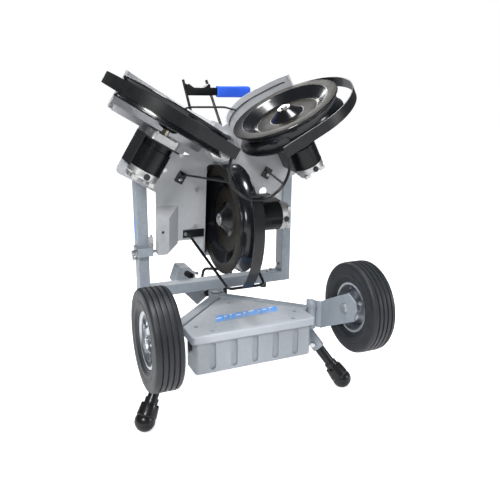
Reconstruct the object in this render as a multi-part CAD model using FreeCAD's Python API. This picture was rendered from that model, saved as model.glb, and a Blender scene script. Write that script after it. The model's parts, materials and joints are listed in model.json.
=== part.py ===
"""Three-wheel baseball pitching machine: base on transport wheels, swivelling yoke, tilting head.

Millimetres, +Z up. Balls leave towards -Y. The shapes below are drawn with X = 0 and Y = 0 on the
swivel axis and Z = 0 on the ground, and export() then moves the swivel axis to Y = SWIVEL_Y, which puts
the origin under the middle of the whole machine.
"""
import FreeCAD, Part
import math
import os
from FreeCAD import Placement, Rotation, Vector

# ---------------------------------------------------------------- driving dimensions
SWIVEL_Y = 165.5          # swivel axis behind the middle of the machine's footprint
WALL = 3.0                # sheet and tube wall

TUBE_W = 31.75            # yoke tube, seen from the front
TUBE_D = 44.0             # yoke tube, front to back
YOKE_HALF = 248.5         # half the width over the uprights
YOKE_Z0 = 278.5           # underside of the crossbar
YOKE_TOP = 722.0          # top of the uprights
TILT_Z = 690.0            # height of the tilt axis
TILT_BOLT_R = 8.0

HEAD_Y = -125.2           # plane of the throwing wheels' axles, in front of the swivel axis
HEAD_Z = 708.8            # height where the three wheels meet
HEAD_TILT = 6.43          # the head at rest points down by this many degrees
WHEEL_R = 157.25          # throwing wheel
WHEEL_HALF_T = 28.7
WHEEL_RHO = 192.9         # shot axis to a throwing wheel's centre
TREAD_SAG = 11.5          # depth of the hollow tread
SHAFT_R = 10.0

PLATE_Y = 80.0            # front face of the head plate, behind the wheel axles
PLATE_T = 4.0
SLOT_HUB = 42.0           # slot edge on the wheel's open side
SLOT_MOTOR = 47.0         # slot edge on the wheel's motor side
COVER_HUB = 49.0          # outside of a wheel cover on the wheel's open side
COVER_MOTOR = 64.0        # outside of a wheel cover on the wheel's motor side
SLOT_IN = 50.0            # slot's inner end, from the shot axis
SLOT_OUT = 330.0          # slot's outer end
COVER_D = 96.0            # cover's depth at the feed tube, where the rear plate sits
COVER_EDGE = ((47, 84), (52, 105), (65, 136), (95, 178), (134, 209), (180, 221), (230, 214), (280, 197), (303, 181),
              (317, 169))     # a wheel cover's back, (out from the shot axis, back)
COVER_END = 322.0         # the cover's outer end at the head plate
HEM = 17.0                # folded edge on an upper cover's open side
FEED_R = 39.5             # inside of the feed tube; a baseball is 37 mm in radius
HANDLE_FEET = (-45.0, 40.0)           # where the handle's rods stand on the rear plate
HANDLE_TOPS = (-58.0, 16.0)

MOTOR_R = 43.0
BELL_T0, BELL_T1 = 52.0, 72.0      # motor front bell, from the wheel's middle plane
MOUNT_T = 4.0
CAN_T1 = 155.0
CAP_T1 = 176.0
BRUSH_T1 = 186.0

HOOP_W = 30.0             # guard strip width
HOOP_T = 3.0
HOOP_R = 194.5            # inside radius of the upper guard strips
LOWER_HOOP_R = 211.5
RING_R = 83.0             # muzzle ring
ROD_R = 4.0               # guard rod

TYRE_R = 127.0            # 10 inch transport tyre
TYRE_W = 70.0
TYRE_OUT = 324.0          # outer face of the tyre
AXLE_Y = -356.0
AXLE_Z = 294.7
RIM_R = 70.0
AXLE_R = 8.0
ARM_X0, ARM_X1 = 244.0, 250.0

RAIL_W = 32.0
RAIL_Z0, RAIL_Z1 = 222.0, 258.0
RAIL_START = (10.0, -19.6)
RAIL_END = (206.0, -219.5)
POST = (218.0, -220.0)
POST_R = 14.0
PIVOT_HALF = 21.0         # square pivot tube
PIVOT_Z0, PIVOT_Z1 = 165.0, 262.0
KINGPIN_R = 16.0

FOOT_R = 28.0
FOOT_Z = 27.0             # centre of a foot's ball: a small flat rests on the ground
FRONT_FOOT = (306.4, -267.9)
FRONT_LEAN = (-0.608, 0.559)       # leg's run inwards and backwards per unit of rise
REAR_FOOT_Y = 124.0
REAR_LEAN = (0.0, -0.35)
LEG_R = 14.7
SOCKET_R = 19.0
SOCKET_IN = 15.0

BOX_HALF = 173.0
BOX_FRONT = -298.0
BOX_Z0, BOX_Z1 = 144.0, 255.0
LID_Z0, LID_Z1 = 237.0, 258.0
GROOVE_PITCH = 62.0

CONTROL_AT = (-65.0, 76.0, 270.0)
CONTROL_EDGE = ((-40, 70), (-7, 68), (8, 50), (13, 28), (69, -19), (16, -61), (-58, 20))    # seen from the front
CONTROL_HALF = 30.0       # half the box's depth
KNOBS = ((-18.0, 40.0), (6.0, 12.0), (30.0, -16.0))
SWITCH = (-11.6, -14.3)
SWITCH_TURN = 49.0

X = Vector(1, 0, 0)
Y = Vector(0, 1, 0)
Z = Vector(0, 0, 1)
S60 = math.sin(math.radians(60))


# ---------------------------------------------------------------- helpers
def box(x0, x1, y0, y1, z0, z1):
    return Part.makeBox(x1 - x0, y1 - y0, z1 - z0, Vector(x0, y0, z0))


def rod(p0, p1, r):
    a, b = Vector(*p0), Vector(*p1)
    return Part.makeCylinder(r, (b - a).Length, a, b - a)


def pipe(p0, p1, r_out, r_in):
    return rod(p0, p1, r_out).cut(rod(p0, p1, r_in))


def fuse(shapes):
    out = shapes[0]
    for shape in shapes[1:]:
        out = out.fuse(shape)
    return out.removeSplitter()


def cut(shape, *tools):
    for tool in tools:
        shape = shape.cut(tool)
    return shape


def prism(points, height, normal="z", base=0.0):
    """Closed polygon pushed along an axis. Points are (x, y), (x, z) or (y, z) for z, y or x."""
    place = {"z": lambda a, b: Vector(a, b, base), "y": lambda a, b: Vector(a, base, b),
             "x": lambda a, b: Vector(base, a, b)}[normal]
    push = {"z": Z, "y": Y, "x": X}[normal] * height
    ring = [place(a, b) for a, b in points]
    return Part.Face(Part.makePolygon(ring + ring[:1])).extrude(push)


def turned(points, base=Vector(0, 0, 0), axis=Z):
    """Solid of revolution from (radius, height) points; height runs along axis."""
    ring = [Vector(r, 0, h) for r, h in points]
    solid = Part.Face(Part.makePolygon(ring + ring[:1])).revolve(Vector(0, 0, 0), Z, 360)
    solid.Placement = Placement(base, Rotation(Z, axis))
    return solid


def hexagon(centre, axis, across, height):
    r = across / math.sqrt(3)
    ring = [Vector(r * math.cos(math.radians(a)), r * math.sin(math.radians(a)), 0) for a in range(0, 360, 60)]
    solid = Part.Face(Part.makePolygon(ring + ring[:1])).extrude(Z * height)
    solid.Placement = Placement(Vector(*centre), Rotation(Z, axis))
    return solid


def mirror(shape):
    return shape.mirror(Vector(0, 0, 0), X)


def both(shape):
    return [shape, mirror(shape)]


def edges_along(shape, direction, test=lambda e: True):
    found = []
    for edge in shape.Edges:
        ends = edge.Vertexes
        if len(ends) != 2 or edge.Curve.TypeId != "Part::GeomLine":
            continue
        run = ends[1].Point - ends[0].Point
        if run.Length > 1e-6 and abs(abs(run.normalize().dot(direction)) - 1) < 1e-6 and test(edge):
            found.append(edge)
    return found


def rounded(shape, r, direction, test=lambda e: True):
    return shape.makeFillet(r, edges_along(shape, direction, test))


def export(name, *solids):
    shape = solids[0] if len(solids) == 1 else Part.Compound(list(solids))
    shape = shape.copy()
    shape.translate(Vector(0, SWIVEL_Y, 0))
    shape.exportStep(os.path.join("parts", name + ".step"))


# ---------------------------------------------------------------- base
def rail():
    """One diagonal of the base's V, welded to the pivot tube and to the arm post."""
    a, b = Vector(RAIL_START[0], RAIL_START[1], 0), Vector(RAIL_END[0], RAIL_END[1], 0)
    run = b - a
    outer = box(0, run.Length, -RAIL_W / 2, RAIL_W / 2, RAIL_Z0, RAIL_Z1)
    inner = box(-1, run.Length + 1, -RAIL_W / 2 + WALL, RAIL_W / 2 - WALL, RAIL_Z0 + WALL, RAIL_Z1 - WALL)
    tube = rounded(outer, 3, X).cut(inner)
    tube.Placement = Placement(a, Rotation(X, run))
    return cut(tube, pivot_block(), post_rod(), box(-200, 0, -300, 100, 200, 300))


def pivot_block():
    return rounded(box(-PIVOT_HALF, PIVOT_HALF, -PIVOT_HALF, PIVOT_HALF, PIVOT_Z0, PIVOT_Z1), 4, Z)


def post_rod():
    return rod((POST[0], POST[1], 190), (POST[0], POST[1], 280), POST_R)


def leg_axis(foot, lean, z):
    rise = z - FOOT_Z
    return (foot[0] + lean[0] * rise, foot[1] + lean[1] * rise, z)


def leg_set(foot, lean, socket_z, leg_top):
    """Socket, leg, rubber foot and cross pin on one leaning axis."""
    def at(z):
        return leg_axis(foot, lean, z)
    socket = pipe(at(socket_z[0]), at(socket_z[1]), SOCKET_R, SOCKET_IN)
    socket = socket.fuse(rod(at(socket_z[1] - 4), at(socket_z[1]), SOCKET_R)).removeSplitter()
    leg = rod(at(50), at(leg_top), LEG_R)
    up = (Vector(*at(100)) - Vector(*at(0))).normalize()
    neck = turned([(0, 0), (25.5, 11.5), (21, 32), (18.5, 48), (18.5, 62), (0, 62)], Vector(*at(FOOT_Z)), up)
    ball = Part.makeSphere(FOOT_R, Vector(*at(FOOT_Z))).fuse(neck)
    ball = cut(ball, box(-500, 500, -500, 500, -50, 0), leg)
    across = up.cross(Z).normalize()
    middle = Vector(*at(socket_z[0] + 16))
    start = middle - across * (SOCKET_R + 5)
    pin = Part.makeCylinder(3.5, 2 * SOCKET_R + 10, start, across)
    head = Part.makeCylinder(7, 4, start - across * 4, across)
    pin = pin.fuse(head).removeSplitter()
    hole = Part.makeCylinder(3.5, 2 * SOCKET_R + 10, start, across)
    return socket.cut(hole), leg.cut(hole), ball, pin


def make_base():
    lock_hole = rod((10, 2, 248.5), (30, 2, 248.5), 4.05)
    bore = rod((0, 0, PIVOT_Z0 - 1), (0, 0, PIVOT_Z1 + 1), 18)
    seats = [rod((0, 0, PIVOT_Z0 - 1), (0, 0, PIVOT_Z0 + 8), 20), rod((0, 0, PIVOT_Z1 - 8), (0, 0, PIVOT_Z1 + 1), 20)]
    upper_bush = fuse([pipe((0, 0, PIVOT_Z1 - 8), (0, 0, PIVOT_Z1), 20, KINGPIN_R + 0.05),
                       pipe((0, 0, PIVOT_Z1), (0, 0, PIVOT_Z1 + 3), 19.5, KINGPIN_R + 0.05)])
    lower_bush = fuse([pipe((0, 0, PIVOT_Z0), (0, 0, PIVOT_Z0 + 8), 20, KINGPIN_R + 0.05),
                       pipe((0, 0, PIVOT_Z0 - 3), (0, 0, PIVOT_Z0), 20.9, KINGPIN_R + 0.05)])
    export("pivot_bushes", upper_bush, lower_bush)
    export("base_rails", *both(rail()))

    spine_outer = rounded(box(-18, 18, PIVOT_HALF, 58, 165, 205), 3, Y)
    spine = spine_outer.cut(box(-18 + WALL, 18 - WALL, PIVOT_HALF + WALL, 58 - WALL, 165 + WALL, 205 - WALL))
    gusset = prism([(-21, -21), (21, -21), (88, -98), (-88, -98)], 5, "z", RAIL_Z0 - 5)

    socket, leg, foot, pin = leg_set(FRONT_FOOT, FRONT_LEAN, (118, 236), 205)
    rail_block = rail_envelope()
    socket = cut(socket, rail_block)
    rear = leg_set((0, REAR_FOOT_Y), REAR_LEAN, (112, 205), 168)
    rear_socket = largest(rear[0].cut(spine_outer))
    post = cut(pivot_block(), bore, lock_hole, *seats)
    export("pivot_post", fuse([post, spine]))
    export("leg_sockets", socket, mirror(socket), rear_socket)
    hangers = make_hangers()
    export("base_brackets", gusset, *both(hangers))
    export("legs", leg, mirror(leg), rear[1])
    export("rubber_feet", foot, mirror(foot), rear[2])
    export("leg_pins", pin, mirror(pin), rear[3])


def largest(shape):
    return max(shape.Solids, key=lambda s: s.Volume)


def rail_envelope():
    a, b = Vector(RAIL_START[0], RAIL_START[1], 0), Vector(RAIL_END[0], RAIL_END[1], 0)
    run = b - a
    block = box(-30, run.Length + 30, -RAIL_W / 2, RAIL_W / 2, RAIL_Z0, RAIL_Z1)
    block.Placement = Placement(a, Rotation(X, run))
    return block


def make_arms():
    """Flat arms that carry the transport wheels, welded to the posts at the rails' ends."""
    post = rod((POST[0], POST[1], 190), (POST[0], POST[1], 272), POST_R)
    cap = Part.makeSphere(POST_R, Vector(POST[0], POST[1], 266)).common(
        box(180, 260, -260, -180, 266, 290))
    post = fuse([rod((POST[0], POST[1], 190), (POST[0], POST[1], 266), POST_R), cap])
    outline = [(-232, 188), (-277, 211), (-399, 270), (-409, 300), (-401, 326), (-366, 341), (-280, 299), (-232, 274)]
    flat = prism(outline, ARM_X1 - ARM_X0, "x", ARM_X0)
    bent = prism([(ARM_X1, -234), (ARM_X0, -234), (214, -196), (220, -193)], 82, "z", 190)
    arm = fuse([flat, bent]).cut(rod((ARM_X0 - 5, AXLE_Y, AXLE_Z), (ARM_X1 + 5, AXLE_Y, AXLE_Z), AXLE_R))
    socket = leg_set(FRONT_FOOT, FRONT_LEAN, (118, 236), 205)[0]
    arm = largest(cut(arm, rail_envelope(), socket))
    arm = fuse([arm, post])
    export("wheel_arms", *both(arm))
    shank = rod((ARM_X0 - 8, AXLE_Y, AXLE_Z), (316, AXLE_Y, AXLE_Z), AXLE_R)
    bolt = fuse([shank,
                 hexagon((ARM_X0 - 8, AXLE_Y, AXLE_Z), X, 22, 5),
                 rod((ARM_X0 - 3, AXLE_Y, AXLE_Z), (ARM_X0, AXLE_Y, AXLE_Z), 15),
                 rod((ARM_X1, AXLE_Y, AXLE_Z), (ARM_X1 + 3, AXLE_Y, AXLE_Z), 14),
                 hexagon((306.4, AXLE_Y, AXLE_Z), X, 22, 7)])
    export("axle_bolts", *both(bolt))


def make_transport_wheels():
    inner = TYRE_OUT - TYRE_W
    mid = TYRE_OUT - TYRE_W / 2
    half = TYRE_W / 2
    tread = [(TYRE_R - 5, -half + 3), (TYRE_R - 1.5, -half + 6)]
    for groove in (-18.5, -6.5, 6.5, 18.5):
        tread += [(TYRE_R, groove - 2.5), (TYRE_R - 4, groove - 1.5), (TYRE_R - 4, groove + 1.5), (TYRE_R, groove + 2.5)]
    tread += [(TYRE_R - 1.5, half - 6), (TYRE_R - 5, half - 3)]
    side = [(112, half), (88, half), (74, half - 7), (RIM_R, half - 9)]
    profile = [(r, -h) for r, h in reversed(side)] + tread + side
    tyre = turned(profile, Vector(mid, AXLE_Y, AXLE_Z), X)
    # steel rim: flanges that hold the beads, a barrel, a pressed disc and a hub sleeve
    rim_profile = [(AXLE_R + 0.05, -30), (20, -30), (20, -6), (46, 0), (52, 8), (60, 8), (60, -22), (64, -26),
                   (RIM_R, -26), (RIM_R, 26), (64, 26), (60, 22), (60, 13), (50, 13), (42, 4), (24, -1),
                   (24, 12), (18, 12), (AXLE_R + 0.05, 12)]
    rim = turned(rim_profile, Vector(mid, AXLE_Y, AXLE_Z), X)
    studs = []
    for k in range(5):
        angle = math.radians(90 + 72 * k)
        y = AXLE_Y + 52 * math.cos(angle)
        z = AXLE_Z + 52 * math.sin(angle)
        studs.append(hexagon((mid + 12.5, y, z), X, 12, 6))
        studs.append(hexagon((mid + 8.5, y, z), -X, 12, 5))
    rim = fuse([rim] + studs)
    bearing = turned([(AXLE_R + 0.05, 12), (17, 12), (17, 16), (AXLE_R + 0.05, 16)], Vector(mid, AXLE_Y, AXLE_Z), X)
    assert inner > ARM_X1 + 3
    export("right_tyre", tyre)
    export("left_tyre", mirror(tyre))
    export("right_rim", fuse([rim, bearing]))
    export("left_rim", mirror(fuse([rim, bearing])))


def lid_outline(inset):
    """Six-sided outline of the lid: straight front, straight sides, then slanting in beside the rails."""
    slant = inset * 1.0
    return [(-184 + inset, -306 + inset), (184 - inset, -306 + inset), (184 - inset, -223 + slant * 0.4),
            (26 - inset * 0.4, -62 - slant), (-26 + inset * 0.4, -62 - slant), (-184 + inset, -223 + slant * 0.4)]


def box_outline():
    return [(-BOX_HALF, BOX_FRONT), (BOX_HALF, BOX_FRONT), (BOX_HALF, -228), (60, -113), (-60, -113), (-BOX_HALF, -228)]


def make_supply_box():
    outline = box_outline()
    inner = [(-BOX_HALF + WALL, BOX_FRONT + 8), (BOX_HALF - WALL, BOX_FRONT + 8), (BOX_HALF - WALL, -229.5),
             (58.7, -116), (-58.7, -116), (-BOX_HALF + WALL, -229.5)]
    shell = rounded(prism(outline, BOX_Z1 - BOX_Z0, "z", BOX_Z0), 9, Z)
    shell = shell.makeChamfer(4, [e for e in shell.Edges if abs(e.BoundBox.ZMax - BOX_Z0) < 1e-6])
    shell = shell.cut(prism(inner, BOX_Z1, "z", BOX_Z0 + WALL))
    grooves = []
    for k in range(-2, 3):
        x = k * GROOVE_PITCH
        grooves.append(rounded(box(x - 9, x + 9, BOX_FRONT - 5, BOX_FRONT + 5, 154, 231), 8.5, Y))
    shell = cut(shell, *grooves)
    inlet_hole = rod((0, -105, 190), (0, -125, 190), 8)
    export("supply_box", shell.cut(inlet_hole))

    lid = prism(lid_outline(0), LID_Z1 - LID_Z0, "z", LID_Z0)
    lid = rounded(lid, 10, Z)
    lid = lid.makeFillet(5, [e for e in lid.Edges if abs(e.BoundBox.ZMin - LID_Z1) < 1e-6])
    lid = lid.cut(prism(lid_outline(WALL), LID_Z1 - LID_Z0 - WALL, "z", LID_Z0))
    screw_spots = [(-150, -238), (150, -238), (-120, -286), (120, -286), (0, -100)]
    for x, y in screw_spots:
        lid = lid.cut(rod((x, y, LID_Z1 - 8), (x, y, LID_Z1 + 1), 3))
    export("box_lid", lid)
    screws = [fuse([rod((x, y, LID_Z1 - 7), (x, y, LID_Z1), 3), rod((x, y, LID_Z1), (x, y, LID_Z1 + 2.5), 5.5)])
              for x, y in screw_spots]
    export("lid_screws", *screws)
    core = rounded(box(-104, 104, -284, -178, BOX_Z0 + WALL, 215), 6, Z)
    fins = [box(-102 + 20 * k, -98 + 20 * k, -274, -188, 215, 232) for k in range(11)]
    export("power_supply", fuse([core] + fins))


def make_hangers():
    """Bracket between the supply box's slanting side and the rail beside it."""
    gap = prism([(70, -130), (160, -222), (172, -210), (82, -118)], 10, "z", 226)
    outline = prism(box_outline(), 200, "z", 100)
    return largest(gap.cut(rail_envelope()).cut(rounded(outline, 9, Z)))


# ---------------------------------------------------------------- yoke
def make_yoke():
    half, top = YOKE_HALF, YOKE_Z0 + TUBE_W
    bar = prism([(-half, YOKE_Z0), (half, YOKE_Z0), (half - TUBE_W, top), (-half + TUBE_W, top)],
                TUBE_D, "y", -TUBE_D / 2)
    void = prism([(-half + WALL, YOKE_Z0 + WALL), (half - WALL, YOKE_Z0 + WALL),
                  (half - TUBE_W + WALL, top - WALL), (-half + TUBE_W - WALL, top - WALL)],
                 TUBE_D - 2 * WALL, "y", -TUBE_D / 2 + WALL)
    export("crossbar", rounded(bar, 2.5, X).cut(void))
    upright = prism([(half, YOKE_Z0), (half - TUBE_W, top), (half - TUBE_W, YOKE_TOP), (half, YOKE_TOP)],
                    TUBE_D, "y", -TUBE_D / 2)
    hollow = prism([(half - WALL, YOKE_Z0 + WALL), (half - TUBE_W + WALL, top - WALL),
                    (half - TUBE_W + WALL, YOKE_TOP - WALL), (half - WALL, YOKE_TOP - WALL)],
                   TUBE_D - 2 * WALL, "y", -TUBE_D / 2 + WALL)
    upright = rounded(upright, 2.5, Z).cut(hollow)
    upright = upright.cut(rod((200, 0, TILT_Z), (260, 0, TILT_Z), TILT_BOLT_R))
    export("yoke_uprights", *both(upright))

    pin = fuse([rod((0, 0, 158), (0, 0, YOKE_Z0), KINGPIN_R),
                rod((0, 0, PIVOT_Z1 + 3.3), (0, 0, YOKE_Z0), 20.5)])
    collar = rod((0, 0, 150), (0, 0, 158), 20)
    export("kingpin", fuse([pin, collar]))

    bolt = fuse([rod((196, 0, TILT_Z), (half + 1, 0, TILT_Z), TILT_BOLT_R),
                 hexagon((half, 0, TILT_Z), X, 24, 8),
                 hexagon((196, 0, TILT_Z), X, 24, 7.6),
                 ])
    washer = pipe((214.3, 0, TILT_Z), (half - TUBE_W, 0, TILT_Z), 16, TILT_BOLT_R)
    export("tilt_bolts", *both(bolt), *both(washer))

    stop = rounded(box(148, 166, -20, -2, YOKE_Z0 - 16, YOKE_Z0), 4, Z)
    export("travel_stops", *both(stop))
    make_tilt_lock()
    make_controls()


def make_tilt_lock():
    block = rounded(box(-255, -208, -40, 14, 411, 436), 3, Z)
    block = cut(block, box(-YOKE_HALF, -YOKE_HALF + TUBE_W, -TUBE_D / 2, 60, 400, 450),
                rod((-260, -31, 423.5), (-200, -31, 423.5), 5.05))
    export("tilt_lock_block", block)
    grooves = [pipe((-268 + 2 * k, -31, 423.5), (-267 + 2 * k, -31, 423.5), 13, 9.3) for k in range(1, 6)]
    knob = cut(rod((-270, -31, 423.5), (-256, -31, 423.5), 10), *grooves)
    export("tilt_lock_screw", fuse([rod((-257, -31, 423.5), (-197, -31, 423.5), 5), knob]))
    stud = rod((-212, -31, 436), (-212, -31, 474), 3.5)
    coils = [pipe((-212, -31, 437 + 3.4 * k), (-212, -31, 438.9 + 3.4 * k), 7, 3.5) for k in range(4)]
    nuts = [hexagon((-212, -31, z), Z, 13, 7) for z in (451, 460)]
    export("tilt_adjuster", fuse([stud] + coils + nuts))
    low_bolt = fuse([rod((-262, 0, 398), (-YOKE_HALF, 0, 398), 4), hexagon((-256, 0, 398), -X, 11, 5)])
    inner_bolt = fuse([rod((YOKE_HALF - TUBE_W - 6, 4, 330), (YOKE_HALF - TUBE_W, 4, 330), 4),
                       hexagon((YOKE_HALF - TUBE_W - 6, 4, 330), X, 11, 4)])
    export("yoke_bolts", low_bolt, inner_bolt)


def on_panel(shape):
    """Local control-box coordinates to the machine."""
    out = shape.copy()
    out.translate(Vector(*CONTROL_AT))
    return out


def inset(points, d):
    """Outline moved inwards by d; the points go round clockwise."""
    out = []
    for k in range(len(points)):
        p, q, r = [Vector(points[(k + n) % len(points)][0], points[(k + n) % len(points)][1], 0) for n in (-1, 0, 1)]
        u = (q - p).normalize()
        v = (r - q).normalize()
        a, b = Vector(u.y, -u.x, 0), Vector(v.y, -v.x, 0)
        spot = q + (a + b) * (d / (1 + a.dot(b)))
        out.append((spot.x, spot.y))
    return out


def make_controls():
    hy = CONTROL_HALF
    shell = rounded(prism(CONTROL_EDGE, 2 * hy, "y", -hy), 6, Y)
    shell = shell.cut(prism(inset(CONTROL_EDGE, WALL), 2 * hy, "y", -hy + WALL))
    panel = prism(inset(CONTROL_EDGE, WALL), 3, "y", hy - 6)
    for x, z in KNOBS:
        panel = panel.cut(rod((x, hy - 8, z), (x, hy + 1, z), 3.05))
    slot = box(-12, 12, hy - 8, hy + 1, -7.6, 7.6)
    rocker = Part.makeCylinder(11, 22, Vector(-11, hy - 6, 0), X).common(box(-11, 11, hy - 12, hy + 5, -6.6, 6.6))
    rocker = rocker.cut(Part.makeCylinder(9, 24, Vector(-12, hy + 9.5, 0), X))
    for part in (slot, rocker):
        part.Placement = Placement(Vector(SWITCH[0], 0, SWITCH[1]), Rotation(Y, SWITCH_TURN)).multiply(part.Placement)
    panel = panel.cut(slot)
    recess = [rod((x, -hy - 2, z), (x, -hy + 12, z), 9.5) for x, z in ((-17, 49), (-3, 39))]
    bridge = prism([(-22.6, 41.3), (-8.6, 31.3), (2.6, 46.7), (-11.4, 56.7)], 14, "y", -hy - 2)
    recess = fuse(recess + [bridge])
    gland_hole = rod((41, -8, -12), (41, -8, 20), 7)
    shell = on_panel(cut(shell, gland_hole, recess))
    envelope = on_panel(prism(CONTROL_EDGE, 2 * hy, "y", -hy))
    tabs = [box(x - 7, x + 7, TUBE_D / 2, 70, 284, 289) for x in (-105, -62)]
    tabs = [largest(tab.cut(envelope)) for tab in tabs]
    export("control_box", fuse([shell] + tabs))
    export("control_panel", on_panel(panel))
    inlet = recess.common(box(-60, 60, -hy, -hy + 12, 0, 80))
    inlet = inlet.cut(rod((-3, -hy - 1, 39), (-3, -hy + 8, 39), 7))
    names = ("left_speed_knob", "lower_speed_knob", "right_speed_knob")
    for name, (x, z) in zip(names, KNOBS):
        cap = turned([(0, 0), (13, 0), (13, 3), (10.5, 5), (10, 15), (8.5, 16.5), (0, 16.5)], Vector(x, hy - 2.6, z), Y)
        pointer = box(x - 0.8, x + 0.8, hy + 12.9, hy + 15, z + 1, z + 11)
        knob = cap.cut(pointer).fuse(rod((x, hy - 20, z), (x, hy - 2.6, z), 3)).removeSplitter()
        export(name, on_panel(knob))
    export("power_switch", on_panel(rocker))
    make_motor_cable(on_panel(inlet))


def bent_tube(points, r, bend):
    """Tube through points with tangent arcs of the given radii at the inner points."""
    spots = [Vector(*p) for p in points]
    edges = []
    start = spots[0]
    for k in range(1, len(spots) - 1):
        before = (spots[k - 1] - spots[k]).normalize()
        after = (spots[k + 1] - spots[k]).normalize()
        half = before.getAngle(after) / 2
        reach = bend / math.tan(half)
        a = spots[k] + before * reach
        b = spots[k] + after * reach
        centre = spots[k] + (before + after).normalize() * (bend / math.sin(half))
        mid = centre + (spots[k] - centre).normalize() * bend
        if (a - start).Length > 1e-6:
            edges.append(Part.LineSegment(start, a).toShape())
        edges.append(Part.Arc(a, mid, b).toShape())
        start = b
    edges.append(Part.LineSegment(start, spots[-1]).toShape())
    path = Part.Wire(edges)
    section = Part.Wire(Part.Circle(spots[0], spots[1] - spots[0], r).toShape())
    return path.makePipeShell([section], True, False)


def make_motor_cable(inlet):
    """Conduit that loops from the control box over to the crossbar, held at both ends."""
    gland = on_panel(fuse([rod((41, -8, -4), (41, -8, 22), 7), rod((41, -8, 12), (41, -8, 17), 9.5)]))
    start = Vector(*CONTROL_AT) + Vector(41, -8, 22)
    end_x = 62.0
    clip_y = TUBE_D / 2 + 9
    route = [tuple(start), (start.x + 5, start.y - 4, 323), (end_x, clip_y, 320), (end_x, clip_y, 296)]
    cable = bent_tube(route, 4.5, 13)
    clip = cut(box(end_x - 9, end_x + 9, TUBE_D / 2, clip_y + 8, 288, 304),
               rod((end_x, clip_y, 280), (end_x, clip_y, 310), 4.5))
    cable = cable.cut(gland)
    export("cable_fittings", gland, clip, inlet)
    export("motor_cable", cable)


def make_swivel_lock():
    """Clamp lever at the side of the pivot tube; its screw bears on the kingpin."""
    hub = rod((21.3, 2, 248.5), (35, 2, 248.5), 7.5)
    screw = rod((16.6, 2, 248.5), (24, 2, 248.5), 4)
    handle = prism([(-3, 248), (-3.5, 274), (7.5, 274), (7, 248)], 10, "x", 25)
    export("swivel_lock_lever", fuse([screw, hub, rounded(handle, 2, X)]))


# ---------------------------------------------------------------- head, drawn level around the shot axis
def head(shape):
    """Head coordinates (x, back from the axles, up from the shot axis) to the machine."""
    out = shape.copy()
    out.Placement = Placement(Vector(0, HEAD_Y, HEAD_Z), Rotation(X, HEAD_TILT)).multiply(out.Placement)
    return out


def tilt_point():
    """The tilt axis in head coordinates, as (back, up)."""
    inverse = Placement(Vector(0, HEAD_Y, HEAD_Z), Rotation(X, HEAD_TILT)).inverse()
    p = inverse.multVec(Vector(0, 0, TILT_Z))
    return p.y, p.z


def at_wheel(shape, which):
    """Wheel coordinates to head coordinates: x out from the shot axis, y back, z towards the motor.

    The upper wheels are mirror images of each other.
    """
    radial = {"lower": Vector(0, 0, -1), "left": Vector(-S60, 0, 0.5), "right": Vector(-S60, 0, 0.5)}[which]
    motor = {"lower": Vector(1, 0, 0), "left": Vector(-0.5, 0, -S60), "right": Vector(-0.5, 0, -S60)}[which]
    turn = Rotation(radial, Y, motor, "XYZ")
    out = shape.copy()
    out.Placement = Placement(Vector(0, 0, 0), turn).multiply(out.Placement)
    return mirror(out) if which == "right" else out


WHEELS = ("left", "right", "lower")


def slab(rho0, rho1, n0, n1, y0, y1):
    """Box in wheel coordinates; rho counts from the shot axis and n towards the motor."""
    return box(rho0, rho1, y0, y1, n0, n1)


def make_head_plate():
    y0, y1 = PLATE_Y, PLATE_Y + PLATE_T
    rim = WALL
    pieces = []
    for which in WHEELS:
        reach = SLOT_OUT + rim if which == "lower" else COVER_END
        lobe = slab(0, reach, -COVER_HUB, COVER_MOTOR, y0, y1)
        pieces.append(at_wheel(lobe, which))
        if which != "lower":
            wing = rounded(slab(90, 237, 50, 204, y0, y1), 14, Y, lambda e: e.BoundBox.ZMax > 200 and e.BoundBox.XMax > 230)
            pieces.append(at_wheel(wing, which))
    pieces.append(box(-193, -40, y0, y1, -277, -20))
    pieces.append(rounded(box(40, 209, y0, y1, -232, -20), 14, Y, lambda e: e.BoundBox.XMax > 200 and e.BoundBox.ZMax < -200))
    pieces.append(box(40, 86, y0, y1, -276, -200))
    plate = fuse(pieces)
    slot = rounded(slab(SLOT_IN, SLOT_OUT, -SLOT_HUB, SLOT_MOTOR, y0 - 1, y1 + 1), 10, Y)
    mouth = rounded(slab(SLOT_IN, 2 * SLOT_OUT, -2 * COVER_HUB, SLOT_MOTOR, y0 - 1, y1 + 1), 10, Y)
    slots = [at_wheel(slot if w == "lower" else mouth, w) for w in WHEELS]
    plate = cut(plate, rod((0, y0 - 1, 0), (0, y1 + 1, 0), FEED_R + 2.5), *slots)
    plate = plate.cut(rod((144, y0 - 1, -141), (144, y1 + 1, -141), 13))
    export("head_plate", head(plate))


def cover_spots(inset):
    curve = Part.BSplineCurve()
    curve.interpolate([Vector(a, b, 0) for a, b in COVER_EDGE])
    spots = []
    for a, b in COVER_EDGE:
        along = curve.tangent(curve.parameter(Vector(a, b, 0)))[0]
        spots.append(Vector(a + along.y * inset, b - along.x * inset, 0))
    spots[0] = Vector(spots[0].x, PLATE_Y + PLATE_T, 0)
    return spots


def cover_face(inset, front, end=COVER_END):
    """A wheel cover's outline, (out from the shot axis, back), with its back edge moved in by the wall."""
    spots = cover_spots(inset)
    back = Part.BSplineCurve()
    back.interpolate(spots)
    corners = [spots[-1], Vector(end - inset, front, 0), Vector(spots[0].x, front, 0), spots[0]]
    corners = [c for k, c in enumerate(corners) if k == 0 or (c - corners[k - 1]).Length > 1e-6]
    edges = [back.toShape()] + [Part.LineSegment(corners[k], corners[k + 1]).toShape() for k in range(len(corners) - 1)]
    return Part.Face(Part.Wire(edges))


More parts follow.
